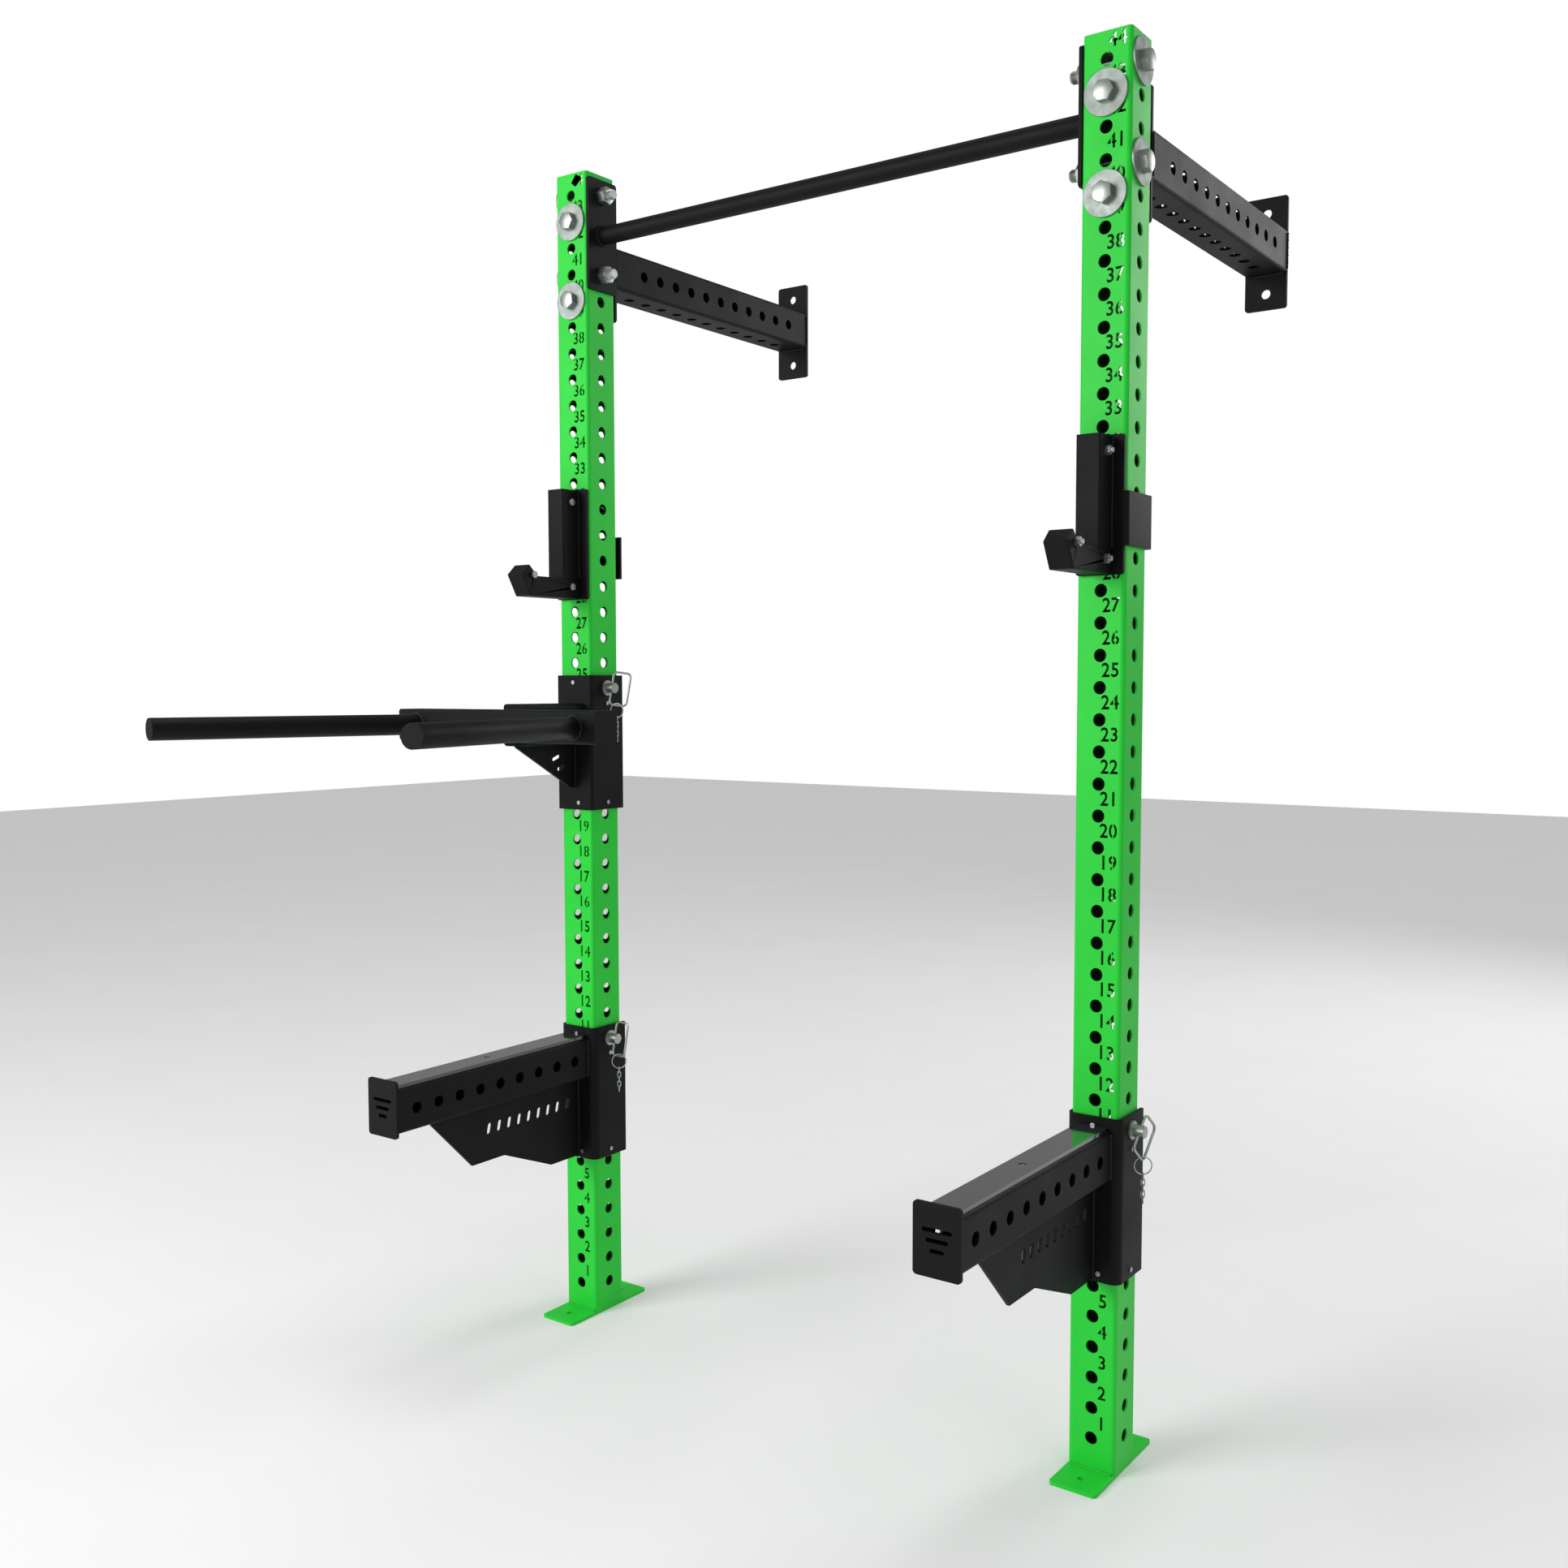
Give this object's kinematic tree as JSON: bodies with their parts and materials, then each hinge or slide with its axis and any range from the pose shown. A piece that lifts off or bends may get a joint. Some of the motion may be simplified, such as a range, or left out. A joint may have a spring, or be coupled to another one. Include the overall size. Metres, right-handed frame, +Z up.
{
  "type": "wall-mounted half rack",
  "caption": "Wall-mounted half rack: perforated uprights with a pull-up bar, wall arms, turning J-cups, spotter arms and a dip attachment held by locking pins.",
  "frame": {"origin": "on the floor, midway between the two uprights and on their centre plane", "axes": "+X to the user's right, +Y towards the wall, +Z up"},
  "size_m": [1.5469, 1.4602, 2.25],
  "materials": {
    "green_powder": "satin powder coat",
    "black_powder": "fine-textured matt powder coat",
    "zinc_steel": "bright zinc plating",
    "gloss_strip": "glossy wear strip",
    "liner_plastic": "low-friction liner"
  },
  "bodies": {
    "frame": {"arm_plate_left": "black_powder", "arm_plate_right": "black_powder", "bar_flange_left": "black_powder", "bar_flange_right": "black_powder", "dip_arm": "black_powder", "dip_beam": "black_powder", "dip_gusset": "black_powder", "dip_handle_left": "black_powder", "dip_handle_right": "black_powder", "dip_liner": "liner_plastic", "dip_screws": "zinc_steel", "dip_sleeve": "black_powder", "foot_plate_left": "green_powder", "foot_plate_right": "green_powder", "keeper_loop_right": "zinc_steel", "pullup_bar": "black_powder", "spotter_arm_left": "black_powder", "spotter_arm_right": "black_powder", "spotter_end_plate_left": "black_powder", "spotter_end_plate_right": "black_powder", "spotter_gusset_left": "black_powder", "spotter_gusset_right": "black_powder", "spotter_liner_left": "liner_plastic", "spotter_liner_right": "liner_plastic", "spotter_screws_left": "zinc_steel", "spotter_screws_right": "zinc_steel", "spotter_sleeve_left": "black_powder", "spotter_sleeve_right": "black_powder", "spotter_strip_left": "gloss_strip", "spotter_strip_right": "gloss_strip", "upper_bolts_left": "zinc_steel", "upper_bolts_right": "zinc_steel", "upper_nuts_left": "zinc_steel", "upper_nuts_right": "zinc_steel", "upper_washers_left": "zinc_steel", "upper_washers_right": "zinc_steel", "upright_left": "green_powder", "upright_right": "green_powder", "wall_arm_left": "black_powder", "wall_arm_right": "black_powder", "wall_plate_left": "black_powder", "wall_plate_right": "black_powder"},
    "jcup_left": {"jcup_plate_left": "black_powder", "jcup_block_left": "black_powder", "jcup_hook_left": "black_powder", "jcup_bolts_left": "zinc_steel"},
    "jcup_right": {"jcup_plate_right": "black_powder", "jcup_block_right": "black_powder", "jcup_hook_right": "black_powder", "jcup_bolts_right": "zinc_steel"},
    "dip_pin": {"dip_pin": "zinc_steel"},
    "dip_bail": {"dip_bail": "zinc_steel", "dip_chain": "zinc_steel"},
    "spotter_left_pin": {"spotter_left_pin": "zinc_steel"},
    "spotter_left_bail": {"spotter_left_bail": "zinc_steel", "spotter_left_chain": "zinc_steel"},
    "spotter_right_pin": {"spotter_right_pin": "zinc_steel"},
    "spotter_right_bail": {"spotter_right_bail": "zinc_steel", "spotter_right_chain": "zinc_steel"}
  },
  "joints": [
    {"name": "jcup_left_turn", "type": "hinge", "parent": "frame", "child": "jcup_left", "pos_m": [-0.555, 0, 1.608], "axis": [0, 1, 0], "range_deg": [0, 90]},
    {"name": "jcup_right_turn", "type": "hinge", "parent": "frame", "child": "jcup_right", "pos_m": [0.555, 0, 1.608], "axis": [0, -1, 0], "range_deg": [0, 90]},
    {"name": "dip_pin_pull", "type": "slide", "parent": "frame", "child": "dip_pin", "axis": [1, 0, 0], "range_m": [0, 0.1]},
    {"name": "dip_bail_swing", "type": "hinge", "parent": "dip_pin", "child": "dip_bail", "pos_m": [-0.496, 0, 1.258], "axis": [0, -0.2419, -0.9703], "range_deg": [-40, 130]},
    {"name": "spotter_left_pin_pull", "type": "slide", "parent": "frame", "child": "spotter_left_pin", "axis": [1, 0, 0], "range_m": [0, 0.1]},
    {"name": "spotter_left_bail_swing", "type": "hinge", "parent": "spotter_left_pin", "child": "spotter_left_bail", "pos_m": [-0.496, 0, 0.558], "axis": [0, -0.2079, -0.9781], "range_deg": [-70, 90]},
    {"name": "spotter_right_pin_pull", "type": "slide", "parent": "frame", "child": "spotter_right_pin", "axis": [1, 0, 0], "range_m": [0, 0.1]},
    {"name": "spotter_right_bail_swing", "type": "hinge", "parent": "spotter_right_pin", "child": "spotter_right_bail", "pos_m": [0.614, 0, 0.558], "axis": [0, -0.7431, -0.6691], "range_deg": [-5, 165]}
  ]
}
